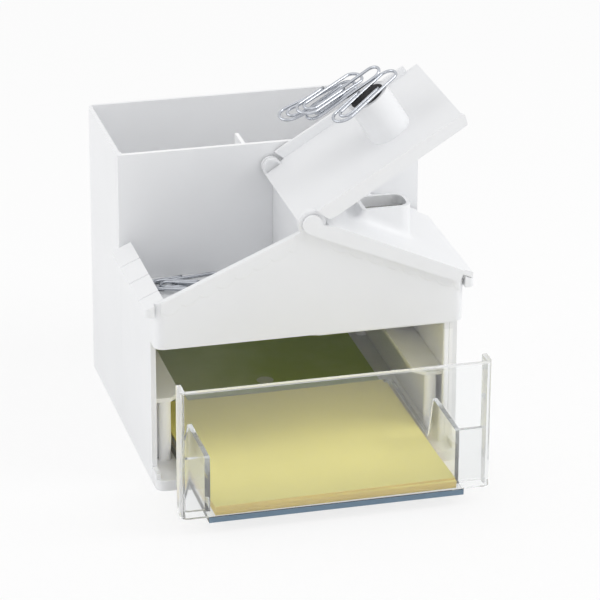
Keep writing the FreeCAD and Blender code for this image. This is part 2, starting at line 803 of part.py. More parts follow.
def tape_tail():
    """End of the tape, from the roll up into the chimney."""
    body = new_body("tape_tail")
    y = front + tail_setback
    pad(body, "YZ", spool_left, spool_right,
        rect(y - S.tail_wall, spool_height + S.tail_start, y, S.chimney_top - S.rim_wall))
    return body


def tear_blade():
    """Toothed strip against the front wall of the slot, just below its rim."""
    body = new_body("tear_blade")
    low = S.chimney_top - S.blade_depth
    top = S.chimney_top - S.tooth / 2
    face = front + slot_front
    start, end = spool_left, slot_right - (S.chimney_round - S.chimney_wall)
    teeth = int((end - start).value / S.tooth_pitch.value)
    step = (end - start) / teeth
    outline = [(end, low), (start, low)]
    for number in range(teeth):
        outline.append((start + step * number, top - S.tooth))
        outline.append((start + step * number + step / 2, top))
    outline.append((end, top - S.tooth))
    pad(body, "XZ", face, face + S.blade_wall, outline)
    return body


# ---------------------------------------------------------------- drawer

drawer_front = front - S.pull_out
wing_back = drawer_front + S.wing_depth


def drawer():
    """Clear drawer: tall front with short wings, floor, cheeks behind the front, low rails."""
    body = new_body("drawer")
    wide = S.drawer_width / 2
    wall = S.drawer_wall
    cheek_in = half - S.cheek_gap
    cheek_out = cheek_in + wall
    end = drawer_front + S.drawer_length
    floor_top = S.drawer_low + wall
    pad(body, "XZ", drawer_front, drawer_front + wall, rect(-wide, S.wing_low, wide, S.drawer_top))
    pad(body, "XZ", drawer_front, drawer_front + wall,
        rect(-cheek_out, S.drawer_low, cheek_out, floor_top + wall))
    for low, high in ((-wide, -wide + wall), (wide - wall, wide)):
        pad(body, "YZ", low, high, rect(drawer_front, S.wing_low, wing_back, S.drawer_top))
    pad(body, "XY", S.drawer_low, floor_top, rect(-cheek_out, drawer_front, cheek_out, end))
    tall = wing_back + S.cheek_length
    cheek = [(wing_back - wall, S.drawer_low), (end, S.drawer_low), (end, S.rail_top),
             (tall + S.cheek_slope, S.rail_top), (tall, S.cheek_top), (wing_back - wall, S.cheek_top)]
    for sign in (-1, 1):
        low, high = (cheek_in, cheek_out) if sign > 0 else (-cheek_out, -cheek_in)
        pad(body, "YZ", low, high, cheek)
        ear_low, ear_high = (cheek_in, wide) if sign > 0 else (-wide, -cheek_in)
        pad(body, "XZ", wing_back - wall, wing_back,
            rect(ear_low, S.wing_low, ear_high, S.cheek_top))
    pad(body, "XZ", end - wall, end, rect(-cheek_out, S.drawer_low, cheek_out, S.rail_top))
    dress(body, "Fillet", S.corner_radius - S.lap,
          {"x": wide, "y": drawer_front}, {"x": -wide, "y": drawer_front})
    return body


def note_pad():
    body = new_body("note_pad")
    side = S.pad_side / 2
    low = S.drawer_low + S.drawer_wall
    pad(body, "XY", 0, S.pad_wall, rect(-side, -side, side, side))
    y = drawer_front + S.drawer_wall + S.pad_gap * 2 + side
    set_place(body, 0, y, low, (0, 0, 1), S.pad_turn)
    return body


# ---------------------------------------------------------------- paper clips


def clip_path(body):
    """Middle line of a paper clip: four straight runs joined by three half circles."""
    path = attached_sketch(body, "XY", 0)
    end, side = S.clip_length / 2, S.clip_width / 2 - S.wire_radius
    middle, small = side - S.clip_pitch / 2, side - S.clip_pitch
    left, inner_left, right = side - end, side - end + S.clip_pitch, end - middle
    high, low = middle * 2 - side, middle * 2 - side - small * 2
    runs = ((S.clip_outer_end, left, side), (left, right, -side),
            (right, inner_left, high), (inner_left, S.clip_inner_end, low))
    lines = []
    for start, finish, y in runs:
        line = path.addGeometry(Part.LineSegment(
            FreeCAD.Vector(start.value, y.value, 0), FreeCAD.Vector(finish.value, y.value, 0)))
        hold(path, line, 1, start, y)
        hold(path, line, 2, finish, y)
        lines.append(line)
    bends = ((left, size(0), side, 90, 270), (right, middle - side, middle, -90, 90),
             (inner_left, high - small, small, 90, 270))
    for number, (x, y, radius, first, last) in enumerate(bends):
        circle = Part.Circle(
            FreeCAD.Vector(x.value, y.value, 0), FreeCAD.Vector(0, 0, 1), radius.value)
        arc = path.addGeometry(Part.ArcOfCircle(circle, math.radians(first), math.radians(last)))
        path.addConstraint(Sketcher.Constraint("Coincident", lines[number], 2, arc, 1))
        path.addConstraint(Sketcher.Constraint("Coincident", arc, 2, lines[number + 1], 1))
        hold_one(path, arc, 3, "DistanceX", x)
    return path, side


def clip_body():
    """Wire clip in its own plane: three bends, one inside the other."""
    body = new_body("Clip", is_part=False)
    path, side = clip_path(body)
    profile = attached_sketch(body, "YZ", S.clip_outer_end)
    draw(profile, (side, 0, S.wire_radius))
    doc.recompute()
    pipe = body.newObject("PartDesign::AdditivePipe", "Wire")
    pipe.Profile = profile
    pipe.Spine = path
    return body


def clips_on_magnet():
    """Clips held by the magnet, placed in the frame of the lid."""
    clips = []
    top = S.leaf_wall - S.leaf_rise + S.post_length + S.wire_radius + S.clip_gap
    for u, setback, height, turn, rise, roll in MAGNET_CLIPS:
        body = clip_body()
        spin = FreeCAD.Rotation(FreeCAD.Vector(0, 0, 1), turn)
        spin = spin.multiply(FreeCAD.Rotation(FreeCAD.Vector(0, 1, 0), -rise))
        spin = spin.multiply(FreeCAD.Rotation(FreeCAD.Vector(1, 0, 0), roll))
        body.Placement = FreeCAD.Placement(FreeCAD.Vector(0, 0, 0), spin)
        set_place(body, u, front + setback, top + height)
        clips.append(body)
    return compound("clips_on_magnet", clips)


def clips_in_tray():
    clips = []
    for x, setback, layer, turn in TRAY_CLIPS:
        body = clip_body()
        pile = layer * (2 * S.wire_radius + S.clip_gap)
        height = S.tray_floor + S.wire_radius + S.clip_gap + pile
        set_place(body, -inner + x, front + setback, height, (0, 0, 1), turn)
        clips.append(body)
    return compound("clips_in_tray", clips)


def compound(label, items):
    group = doc.addObject("Part::Compound", label)
    group.Label = label
    group.Links = items
    PARTS[label] = group
    return group


doc.recompute()
front_shell()
rear_box()
pen_divider()
base_plate()
drawer_guide("left_drawer_guide", -1)
drawer_guide("right_drawer_guide", 1)
guide_screws()
eave("left_eave", -1)
eave("right_eave", 1)
clip_tray()
tape_well()
spool()
lid = leaf(new_body("clip_lid"), -1, True)
post_on(lid)
for item in (lid, lid_ridge(-1), lid_magnet(), clips_on_magnet()):
    set_place(item, 0, 0, S.axis_height, (0, 1, 0), -S.lid_angle)
cover = leaf(new_body("CoverLeaf", is_part=False), 1, False)
set_place(cover, 0, 0, S.axis_height, (0, 1, 0), S.roof_slope)
doc.recompute()
chimney_on(cover)
hinge_pins()
tape_tail()
tear_blade()
drawer()
note_pad()
clips_in_tray()
doc.recompute()



def check_model():
    """Stop before anything is written if a piece failed or a cut removed nothing."""
    for item in doc.Objects:
        if "Invalid" in item.State or "Error" in item.State:
            raise RuntimeError(f"{item.Name} of {item.Label} failed: {item.State}")
    for cut in CUTS:
        if cut.BaseFeature.Shape.Volume - cut.Shape.Volume < SMALLEST_CUT:
            raise RuntimeError(f"{cut.Name} removes nothing")
    for label, item in PARTS.items():
        if item.Shape.isNull() or not item.Shape.isValid():
            raise RuntimeError(f"{label} has no valid shape")


check_model()
os.makedirs("parts", exist_ok=True)
for label, item in PARTS.items():
    item.Shape.exportStep(f"parts/{label}.step")
    print(label, len(item.Shape.Solids), "solids", round(item.Shape.Volume, 1), "mm3")
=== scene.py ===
"""House-shaped desk organizer: finishes, loose pieces, floor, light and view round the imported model."""

import json
import math

import bpy
import numpy as np
from mathutils import Matrix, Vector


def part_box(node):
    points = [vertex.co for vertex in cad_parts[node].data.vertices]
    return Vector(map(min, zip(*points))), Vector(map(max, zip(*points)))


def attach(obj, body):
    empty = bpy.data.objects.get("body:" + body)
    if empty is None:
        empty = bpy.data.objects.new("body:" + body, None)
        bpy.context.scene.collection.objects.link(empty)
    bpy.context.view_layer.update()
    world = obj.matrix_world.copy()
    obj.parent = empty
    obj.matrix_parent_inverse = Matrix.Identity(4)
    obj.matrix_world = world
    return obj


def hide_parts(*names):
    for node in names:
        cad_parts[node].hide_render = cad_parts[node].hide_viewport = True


bl_info = {
    "name": "House Desk Organizer",
    "version": (1, 0, 0),
    "blender": (4, 5, 0),
    "location": "View3D > Sidebar > Organizer",
    "description": "Dresses a desk organizer with a pen box, clip lid, tape well and clear drawer",
    "category": "Object",
}

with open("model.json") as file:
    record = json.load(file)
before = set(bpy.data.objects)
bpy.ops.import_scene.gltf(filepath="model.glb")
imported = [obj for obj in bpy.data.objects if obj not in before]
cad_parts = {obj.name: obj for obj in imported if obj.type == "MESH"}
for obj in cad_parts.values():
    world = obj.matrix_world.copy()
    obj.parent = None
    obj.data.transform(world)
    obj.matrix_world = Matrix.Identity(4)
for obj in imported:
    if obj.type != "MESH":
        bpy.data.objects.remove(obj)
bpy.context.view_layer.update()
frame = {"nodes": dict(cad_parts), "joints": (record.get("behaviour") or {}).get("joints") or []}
MM = 0.001

WHITE_NODES = (
    "front_shell",
    "rear_box",
    "pen_divider",
    "left_drawer_guide",
    "right_drawer_guide",
    "left_eave",
    "right_eave",
    "clip_tray",
    "tape_well",
    "tape_spindle",
    "clip_lid",
    "clip_lid_ridge",
    "tape_cover",
)
STEEL_NODES = ("guide_screws", "front_hinge_pin", "rear_hinge_pin", "tear_blade")


def corners(node):
    """Lowest and highest corner of a solid, in millimetres."""
    return [[value / MM for value in corner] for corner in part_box(node)]


def pivot(name):
    """A point on the axis of a hinge, in millimetres."""
    joint = next(joint for joint in frame["joints"] if joint["name"] == name)
    return [value / MM for value in joint["pos_m"]]


# Places and sizes of the solids, in millimetres and degrees: first those that the model gives
GABLE_FACE = corners("front_shell")[0][1]
DRAWER_FRONT = corners("drawer")[0][1]
DRAWER_HALF = corners("drawer")[1][0]
DRAWER_TOP = corners("drawer")[1][2]
RIDGE_HEIGHT = pivot("clip_lid_hinge")[2]
SPOOL_AXIS = pivot("tape_spool_spin")[1:]
LID_ANGLE = 32.2
MAGNET_TOP = 13.7
TRAY_LEFT = -47.4
TRAY_FLOOR = 49.5
# Height and width of the drawer's foot, which gets a painted steel blue reflection, width of its edges,
# which get a painted pale highlight, and the share of light that the painted foot stops
FOOT_TOP = 5.6
FOOT_BAND = 0.4
EDGE_BAND = 0.5
FOOT_PAINTED_SHARE = 0.75
# Spaces inside the body: middle and half size along X and Y. The white inside the pen box and the bay,
# below the bay's top, gets painted light
PEN_SPACE = ((0, 25.8), (47.6, 23.6))
BAY_SPACE = ((0, 0), (47.6, 50.2))
# The bay floor within this space gets painted shade
BAY_FLOOR = ((0, 3.2), (38.5, 45.6))
BAY_TOP = 42.0
# Along X, where the painted shade on the floor of the bay starts to turn olive and where it has turned
PAINTED_SHADE_RANGE = (-38.0, 8.0)
# Pale round spot on the floor of the bay: painted light on a small round boss
PAINTED_LIGHT_SPOT_PLACE = (1.8, 15.3, 3.5)
PAINTED_LIGHT_SPOT_RADIUS = 2.8
PAINTED_LIGHT_SPOT_STRENGTH = 0.7
# Bar on the inner side of the right leg, and the groove down its front
FLANGE_LEFT = 44.7
FLANGE_RIGHT = 47.38
FLANGE_FRONT = -43.6
FLANGE_LOW = 3.5
FLANGE_HIGH = 44.5
FLANGE_THICK = 1.6
FLANGE_CORNER = 0.5
GROOVE_PLACE = 1.6
GROOVE_DEPTH = 0.25
GROOVE_WIDTH = 0.16
# Distance from the middle and height of the gable's sloping edge, at the ridge and at the corner
TILE_START = (5.0, 81.2)
TILE_END = (47.2, 63.1)
TILE_SINK = 0.02
# Radius of a tile's round end as a share of the pitch, and the shares of a tile that roll in
TILE_ROUND = 0.56
TILE_TOP_ROLL = 0.04
TILE_END_ROLL = 0.07
# Rings on the side of the tape: radians per metre of radius, and their share of the tone
RING_RATE = 9000.0
RING_TONE = 0.12
# Wire of the paper clips and its bends
WIRE_RADIUS = 0.5
CLIP_GAP = 0.05
CLIP_HALF_LENGTH = 13.25
CLIP_HALF_WIDTH = 3.5
CLIP_PITCH = 1.35
CLIP_OUTER_END = 1.3
CLIP_INNER_END = 4.6
# Distance from the ridge, distance behind the gable, height, turn, rise and roll in the lid's frame
MAGNET_CLIPS = (
    (35.5, 20.9, 1.2, 29.2, -5.4, 9.6),
    (30.9, 30.0, 2.18, 0.9, 0.2, 8.6),
    (23.2, 32.1, 3.95, 13.4, -14.7, 14.0),
    (27.4, 30.1, 4.51, 33.3, -14.7, 23.4),
)
# Distance from the left wall, distance behind the gable, layer and turn
TRAY_CLIPS = (
    (17.2, 46.4, 0, 9.0),
    (19.5, 39.2, 1, -20.0),
    (9.8, 22.5, 0, 72.0),
    (31.5, 14.0, 0, 12.0),
    (25.0, 21.5, 1, 48.0),
)
# Turn of the pad in degrees, how far each sheet strays from it in turn and slide, the share of a
# sheet's room that is paper, and the number, turn and slide of the loose sheets on top
PAD_TURN = 0.4
SHEET_TURN = 0.08
SHEET_SLIDE = 0.12
SHEET_FILL = 0.9
LOOSE_SHEETS = 5
LOOSE_TURN = 0.9
LOOSE_SLIDE = (-0.7, 0.5)

# The stage: lengths in metres, the sensor in millimetres, the shift in shares of the view
FLOOR_REACH = 6.0
FLOOR_GLOW = 0.8
LAMP_AIM = (0.0, 0.0, 0.05)
# Name, place, side and the setting with the power
LAMPS = (
    ("key_lamp", (-0.95, 0.15, 0.35), 0.8, "key_light"),
    ("side_lamp", (0.85, -0.35, 0.75), 0.5, "side_light"),
    ("front_lamp", (-0.30, -1.15, 0.35), 0.5, "front_light"),
    ("top_lamp", (0.1, -0.1, 1.1), 0.9, "top_light"),
)
CAMERA_SHIFT = (-0.00842, 0.00189)
SENSOR_WIDTH = 36.0
VIEW_DEPTH = (0.05, 20.0)

# Colour sockets of a Mix node: its two inputs and its output
MIX_COLOURS = (6, 7)
MIX_RESULT = 2


# ---------------------------------------------------------------- settings


class OrganizerWhite(bpy.types.PropertyGroup):
    """White moulded plastic."""

    colour: bpy.props.FloatVectorProperty(
        name="Colour", description="Body colour of the white mouldings",
        subtype="COLOR", size=3, min=0, max=1, default=(0.89, 0.897, 0.91))
    # Painted light: brighter white inside the pen box and the drawer bay, where the walls shade it
    painted_light_inner_colour: bpy.props.FloatVectorProperty(
        name="Inner colour", description="Cleaner white inside the pen box and the drawer bay",
        subtype="COLOR", size=3, min=0, max=1, default=(0.985, 0.988, 0.995))
    # Painted shade: dark olive for the deep shade in the bay, tinted by yellow light bounced from the pad
    floor_colour: bpy.props.FloatVectorProperty(
        name="Bay colour", description="Glossy floor of the drawer bay, inside the walls",
        subtype="COLOR", size=3, min=0, max=1, default=(0.52, 0.64, 0.20))
    # Painted light: paler left side of the painted shade on the bay floor
    painted_light_left_colour: bpy.props.FloatVectorProperty(
        name="Bay colour, left", description="Paler left side of the glossy floor",
        subtype="COLOR", size=3, min=0, max=1, default=(0.93, 1.0, 0.74))
    edge_round: bpy.props.FloatProperty(
        name="Edge rounding", description="Radius of the moulded edges",
        default=0.3 * MM, subtype="DISTANCE", unit="LENGTH")
    tile_pitch: bpy.props.FloatProperty(
        name="Tile pitch", description="From one roof tile on the gable to the next",
        default=5.6 * MM, subtype="DISTANCE", unit="LENGTH")
    tile_depth: bpy.props.FloatProperty(
        name="Tile depth", description="Lowest point of a tile below the edge of the gable",
        default=5.4 * MM, subtype="DISTANCE", unit="LENGTH")
    tile_rise: bpy.props.FloatProperty(
        name="Tile rise", description="How far the tiles stand out of the gable",
        default=0.13 * MM, subtype="DISTANCE", unit="LENGTH")
    roughness: bpy.props.FloatProperty(
        name="Roughness", description="Satin of the moulded skin", default=0.36, min=0, max=1)
    grain: bpy.props.FloatProperty(
        name="Grain", description="Size of the fine ripple left by the mould",
        default=1.3 * MM, subtype="DISTANCE", unit="LENGTH")


class OrganizerClear(bpy.types.PropertyGroup):
    """Clear plastic of the drawer."""

    tint: bpy.props.FloatVectorProperty(
        name="Edge tint", description="Colour that deep plastic takes on",
        subtype="COLOR", size=3, min=0, max=1, default=(0.50, 0.70, 0.82))
    density: bpy.props.FloatProperty(
        name="Tint density", description="How quickly the tint builds up, per metre",
        default=8.0, min=0)
    # Painted reflection: the steel blue that the thick clear foot shows by refraction, laid on as colour
    foot_painted_reflection: bpy.props.FloatVectorProperty(
        name="Foot colour", description="Steel blue that the thick lower front edge shows",
        subtype="COLOR", size=3, min=0, max=1, default=(0.20, 0.29, 0.38))
    haze: bpy.props.FloatProperty(
        name="Haze", description="Share of the light that the plastic scatters",
        default=0.07, min=0, max=1)
    # Painted highlight: pale top and outer edges, as rounded clear edges catch light
    edge_painted_highlight: bpy.props.FloatProperty(
        name="Edge haze", description="Further share scattered by the top and outer edges",
        default=0.4, min=0, max=0.9)
    roughness: bpy.props.FloatProperty(
        name="Roughness", description="Polish of the clear walls", default=0.03, min=0, max=1)


class OrganizerPaper(bpy.types.PropertyGroup):
    """Note pad."""

    colour: bpy.props.FloatVectorProperty(
        name="Colour", description="Face of the sheets",
        subtype="COLOR", size=3, min=0, max=1, default=(0.95, 0.86, 0.27))
    edge_colour: bpy.props.FloatVectorProperty(
        name="Edge colour", description="Cut edge of the stack",
        subtype="COLOR", size=3, min=0, max=1, default=(1.0, 0.75, 0.22))
    side: bpy.props.FloatProperty(
        name="Side", description="Side of a sheet", default=76 * MM,
        subtype="DISTANCE", unit="LENGTH")
    sheets: bpy.props.IntProperty(
        name="Sheets", description="Leaves of paper that show at the edge", default=22, min=1)
    curl: bpy.props.FloatProperty(
        name="Curl", description="Lift of the far left corner of the top sheets",
        default=0.7 * MM, subtype="DISTANCE", unit="LENGTH")


class OrganizerMetal(bpy.types.PropertyGroup):
    """Wire, pins and screws."""

    wire_colour: bpy.props.FloatVectorProperty(
        name="Wire colour", description="Plated wire of the paper clips",
        subtype="COLOR", size=3, min=0, max=1, default=(0.50, 0.52, 0.56))
    steel_colour: bpy.props.FloatVectorProperty(
        name="Steel colour", description="Pins, screws and the tear blade",
        subtype="COLOR", size=3, min=0, max=1, default=(0.50, 0.51, 0.53))
    magnet_colour: bpy.props.FloatVectorProperty(
        name="Magnet colour", description="Black ferrite",
        subtype="COLOR", size=3, min=0, max=1, default=(0.006, 0.006, 0.007))


class OrganizerTape(bpy.types.PropertyGroup):
    """Roll of clear tape and its card core."""

    film_colour: bpy.props.FloatVectorProperty(
        name="Film colour", description="Clear film, wound many times",
        subtype="COLOR", size=3, min=0, max=1, default=(0.95, 0.95, 0.93))
    card_colour: bpy.props.FloatVectorProperty(
        name="Card colour", description="Card of the core",
        subtype="COLOR", size=3, min=0, max=1, default=(0.42, 0.30, 0.18))


class OrganizerStage(bpy.types.PropertyGroup):
    """Floor, light and view."""

    azimuth: bpy.props.FloatProperty(
        name="Azimuth", description="Turn of the camera about the object",
        default=math.radians(-14.755), subtype="ANGLE", unit="ROTATION")
    elevation: bpy.props.FloatProperty(
        name="Elevation", description="Height of the camera above the horizon",
        default=math.radians(22.989), subtype="ANGLE", unit="ROTATION")
    roll: bpy.props.FloatProperty(
        name="Roll", description="Tilt of the camera",
        default=math.radians(0.279), subtype="ANGLE", unit="ROTATION")
    position: bpy.props.FloatVectorProperty(
        name="Camera place", description="Place of the camera", size=3,
        default=(-0.248505, -0.986312, 0.469754), subtype="TRANSLATION", unit="LENGTH")
    lens: bpy.props.FloatProperty(
        name="Lens", description="Focal length in millimetres", default=206.41)
    floor_colour: bpy.props.FloatVectorProperty(
        name="Floor colour", description="Plain pale floor",
        subtype="COLOR", size=3, min=0, max=1, default=(0.93, 0.93, 0.93))
    room_light: bpy.props.FloatProperty(
        name="Room light", description="Strength of the even light from all round", default=0.70)
    key_light: bpy.props.FloatProperty(
        name="Key light", description="Power of the large lamp on the left, in watts", default=2.2)
    top_light: bpy.props.FloatProperty(
        name="Top light", description="Power of the large lamp overhead, in watts", default=0.8)
    side_light: bpy.props.FloatProperty(
        name="Side light", description="Power of the large lamp on the right, in watts", default=3.6)
    front_light: bpy.props.FloatProperty(
        name="Front light", description="Power of the low lamp in front, in watts", default=0.7)


# ---------------------------------------------------------------- materials


def reckon(tree, operation, first, second):
    """One step of arithmetic in any node tree."""
    node = tree.nodes.new("ShaderNodeMath")
    node.operation = operation
    for socket, value in zip(node.inputs, (first, second)):
        if isinstance(value, bpy.types.NodeSocket):
            tree.links.new(value, socket)
        else:
            socket.default_value = value
    return node.outputs[0]


class Finish:
    """A material with one main shader and helpers for the detail on it."""

    def __init__(self, name):
        self.material = bpy.data.materials.new(name)
        self.material.use_nodes = True
        self.tree = self.material.node_tree
        self.shader = self.tree.nodes["Principled BSDF"]
        self.place = self.tree.nodes.new("ShaderNodeTexCoord").outputs["Object"]

    def set(self, **values):
        """Sets the shader's own sockets by their names, with spaces written as underscores."""
        for name, value in values.items():
            self.shader.inputs[name.replace("_", " ")].default_value = value
        return self

    def add(self, kind, **inputs):
        """Adds a node of that kind and sets or links its inputs."""
        node = self.tree.nodes.new(kind)
        for name, value in inputs.items():
            socket = node.inputs[name.replace("_", " ")]
            if isinstance(value, bpy.types.NodeSocket):
                self.tree.links.new(value, socket)
            else:
                socket.default_value = value
        return node

    def noise(self, size, detail=2.0, stretch=(1, 1, 1)):
        """Cloudy pattern with cells of about that size in metres, drawn out along the axes."""
        spread = self.add("ShaderNodeMapping", Vector=self.place)
        spread.inputs["Scale"].default_value = tuple(1 / s for s in stretch)
        return self.add(
            "ShaderNodeTexNoise", Vector=spread.outputs[0], Scale=1 / size, Detail=detail
        ).outputs["Fac"]

    def spread(self, fac, low, high, start=0.3, end=0.7):
        """Maps a pattern between start and end to the range low to high."""
        return self.add(
            "ShaderNodeMapRange", Value=fac, From_Min=start, From_Max=end, To_Min=low, To_Max=high
        ).outputs["Result"]

    def math(self, operation, first, second=0.0):
        """One step of arithmetic on sockets or numbers."""
        return reckon(self.tree, operation, first, second)

    def axis(self, name):
        """Place along one axis of the object, in metres."""
        return self.add("ShaderNodeSeparateXYZ", Vector=self.place).outputs[name]

    def within(self, middle, reach):
        """1 inside an upright box given by its middle and half size along X and Y, in millimetres."""
        inside = 1.0
        for name, centre, half in zip("XY", middle, reach):
            off = self.math("ABSOLUTE", self.math("SUBTRACT", self.axis(name), centre * MM))
            inside = self.math("MULTIPLY", self.math("LESS_THAN", off, half * MM), inside)
        return inside

    def link(self, socket, name):
        """Feeds a shader socket."""
        self.tree.links.new(socket, self.shader.inputs[name])
        return self

    def tones(self, fac, first, second, start=0.3, end=0.7):
        """Colour that goes from one tone to another as a pattern goes from start to end."""
        ramp = self.add("ShaderNodeValToRGB", Fac=fac)
        for element, place, colour in zip(ramp.color_ramp.elements, (start, end), (first, second)):
            element.position = place
            element.color = (*colour, 1)
        return ramp.outputs["Color"]

    def two_tone(self, fac, first, second):
        """Base colour that wanders between two tones."""
        return self.link(self.tones(fac, first, second), "Base Color")

    def mixed(self, factor, first, second):
        """Colour between two colours or colour sockets."""
        node = self.add("ShaderNodeMix", Factor=factor)
        node.data_type = "RGBA"
        for index, value in zip(MIX_COLOURS, (first, second)):
            if isinstance(value, bpy.types.NodeSocket):
                self.tree.links.new(value, node.inputs[index])
            else:
                node.inputs[index].default_value = (*value, 1)
        return node.outputs[MIX_RESULT]

    def relief(self, height, depth, under=None):
        """Raises the surface by a pattern, depth in metres, on top of an earlier relief."""
        bump = self.add("ShaderNodeBump", Height=height, Distance=depth, Strength=1.0)
        if under is not None:
            self.tree.links.new(under, bump.inputs["Normal"])
        self.tree.links.new(bump.outputs["Normal"], self.shader.inputs["Normal"])
        return bump.outputs["Normal"]


def toned(colour, factor):
    """The same colour, lighter or darker."""
    return tuple(min(1.0, c * factor) for c in colour)


def white_plastic(group):
    """Satin white moulding: fine mould ripple, faint flow clouds, a slightly uneven polish, and painted
    light inside the pen box and the bay.
    """
    finish = Finish("white_plastic").set(IOR=1.5, Specular_IOR_Level=0.42)
    colour = tuple(group.colour)
    clouds = finish.tones(finish.noise(30 * MM, 3), toned(colour, 0.985), toned(colour, 1.01))
    # Painted light: a brighter white inside the pen box and the bay, standing in for light that their
    # shade keeps out
    low = finish.math("LESS_THAN", finish.axis("Z"), BAY_TOP * MM)
    bay = finish.math("MULTIPLY", finish.within(*BAY_SPACE), low)
    inside = finish.math("MAXIMUM", finish.within(*PEN_SPACE), bay)
    finish.link(finish.mixed(inside, clouds, tuple(group.painted_light_inner_colour)), "Base Color")
    polish = finish.noise(6 * MM, 4)
    finish.link(finish.spread(polish, group.roughness - 0.05, group.roughness + 0.05), "Roughness")
    swell = finish.relief(finish.noise(9 * MM, 1), 0.05 * MM)
    finish.relief(finish.noise(group.grain, 2), 0.006 * MM, swell)
    return finish.material


def bay_painted_shade_plastic(group):
    """The same moulding for the base: glossy, white at its rim, with painted shade between the walls:
    olive, paler on the left.
    """
    finish = Finish("base_plastic").set(IOR=1.5, Specular_IOR_Level=0.5)
    # Painted shade: olive across the bay floor, paler towards the left, where painted light stands in for
    # more light
    across = finish.spread(finish.axis("X"), 0, 1, *(place * MM for place in PAINTED_SHADE_RANGE))
    wander = finish.math("MULTIPLY", finish.math("SUBTRACT", finish.noise(18 * MM, 3), 0.5), 0.5)
    shade = finish.tones(
        finish.math("ADD", across, wander), group.painted_light_left_colour, group.floor_colour, 0, 1)
    # Painted light: a pale round spot that lifts the painted shade where a small boss is lit
    away = finish.add("ShaderNodeVectorMath", Vector=finish.place)
    away.operation = "DISTANCE"
    away.inputs[1].default_value = tuple(value * MM for value in PAINTED_LIGHT_SPOT_PLACE)
    mark = finish.math("LESS_THAN", away.outputs["Value"], PAINTED_LIGHT_SPOT_RADIUS * MM)
    marked = finish.mixed(finish.math("MULTIPLY", mark, PAINTED_LIGHT_SPOT_STRENGTH), shade, (1, 1, 1))
    # Painted shade only on the bay floor inside the walls; the rim stays white
    finish.link(
        finish.mixed(finish.within(*BAY_FLOOR), tuple(group.colour), marked), "Base Color")
    finish.link(finish.spread(finish.noise(7 * MM, 4), 0.12, 0.24), "Roughness")
    finish.relief(finish.noise(9 * MM, 1), 0.05 * MM)
    return finish.material


def clear_plastic(group):
    """Clear plastic: a cool tint in its depth, faint marks, a painted pale highlight on its top and outer
    edges and a painted steel blue reflection on its thick foot.
    """
    finish = Finish("clear_plastic").set(IOR=1.32)
    # Painted reflection on the foot and painted highlight on the top and outer edges, both laid on as
    # colour that the light can't pass
    foot = finish.math("MULTIPLY",
                       finish.math("LESS_THAN", finish.axis("Z"), FOOT_TOP * MM),
                       finish.math("LESS_THAN", finish.axis("Y"), (DRAWER_FRONT + FOOT_BAND) * MM))
    edge = finish.math("MAXIMUM",
                       finish.math("GREATER_THAN", finish.axis("Z"), (DRAWER_TOP - EDGE_BAND) * MM),
                       finish.math("GREATER_THAN",
                                   finish.math("ABSOLUTE", finish.axis("X")),
                                   (DRAWER_HALF - EDGE_BAND) * MM))
    finish.link(finish.mixed(foot, (0.985, 0.99, 0.99), tuple(group.foot_painted_reflection)), "Base Color")
    lost = finish.math("ADD",
                       finish.math("MULTIPLY", foot, FOOT_PAINTED_SHARE),
                       finish.math("MULTIPLY", edge, group.edge_painted_highlight))
    clear = finish.math("SUBTRACT", 1 - group.haze, lost)
    finish.link(clear, "Transmission Weight")
    finish.link(
        finish.spread(finish.noise(7 * MM, 5), group.roughness * 0.5, group.roughness * 1.8),
        "Roughness")
    finish.relief(finish.noise(14 * MM, 1), 0.03 * MM)
    depth = finish.add("ShaderNodeVolumeAbsorption", Color=(*group.tint, 1), Density=group.density)
    finish.tree.links.new(
        depth.outputs[0], finish.tree.nodes["Material Output"].inputs["Volume"])
    return finish.material


def paper(group):
    """Pale yellow paper: soft fibres on the faces and a deeper yellow on the cut edges."""
    finish = Finish("note_paper").set(IOR=1.4, Specular_IOR_Level=0.15, Roughness=0.9)
    colour, edge = tuple(group.colour), tuple(group.edge_colour)
    face = finish.add("ShaderNodeNewGeometry").outputs["Normal"]
    level = finish.math("ABSOLUTE", finish.add("ShaderNodeSeparateXYZ", Vector=face).outputs["Z"])
    clouds = finish.tones(
        finish.noise(11 * MM, 4), toned(colour, 0.96), toned(colour, 1.03), 0, 1)
    finish.link(finish.mixed(level, edge, clouds), "Base Color")
    pulp = finish.relief(finish.noise(1.6 * MM, 4, (3, 1, 1)), 0.02 * MM)
    finish.relief(finish.noise(0.4 * MM, 3), 0.01 * MM, pulp)
    return finish.material


def plated_wire(group):
    """Bright plated wire with fine drawing marks."""
    finish = Finish("clip_wire").set(Metallic=1.0)
    colour = tuple(group.wire_colour)
    finish.two_tone(finish.noise(3 * MM, 3), toned(colour, 0.93), toned(colour, 1.05))
    finish.link(finish.spread(finish.noise(1.2 * MM, 4), 0.16, 0.3), "Roughness")
    finish.relief(finish.noise(0.25 * MM, 2), 0.004 * MM)
    return finish.material


def plain_steel(group):
    """Turned steel, a little dull."""
    finish = Finish("steel").set(Metallic=1.0)
    colour = tuple(group.steel_colour)
    finish.two_tone(finish.noise(2 * MM, 4), toned(colour, 0.88), toned(colour, 1.08))
    finish.link(finish.spread(finish.noise(0.8 * MM, 3), 0.28, 0.45), "Roughness")
    finish.relief(finish.noise(0.2 * MM, 2, (1, 4, 1)), 0.006 * MM)
    return finish.material


def ferrite(group):
    """Black sintered ferrite: matt, slightly pitted."""
    finish = Finish("magnet_black").set(IOR=1.6, Specular_IOR_Level=0.3)
    colour = tuple(group.magnet_colour)
    finish.two_tone(finish.noise(0.8 * MM, 3), toned(colour, 0.8), toned(colour, 1.6))
    finish.link(finish.spread(finish.noise(1.5 * MM, 3), 0.5, 0.7), "Roughness")
    finish.relief(finish.noise(0.5 * MM, 4), 0.02 * MM)
    return finish.material


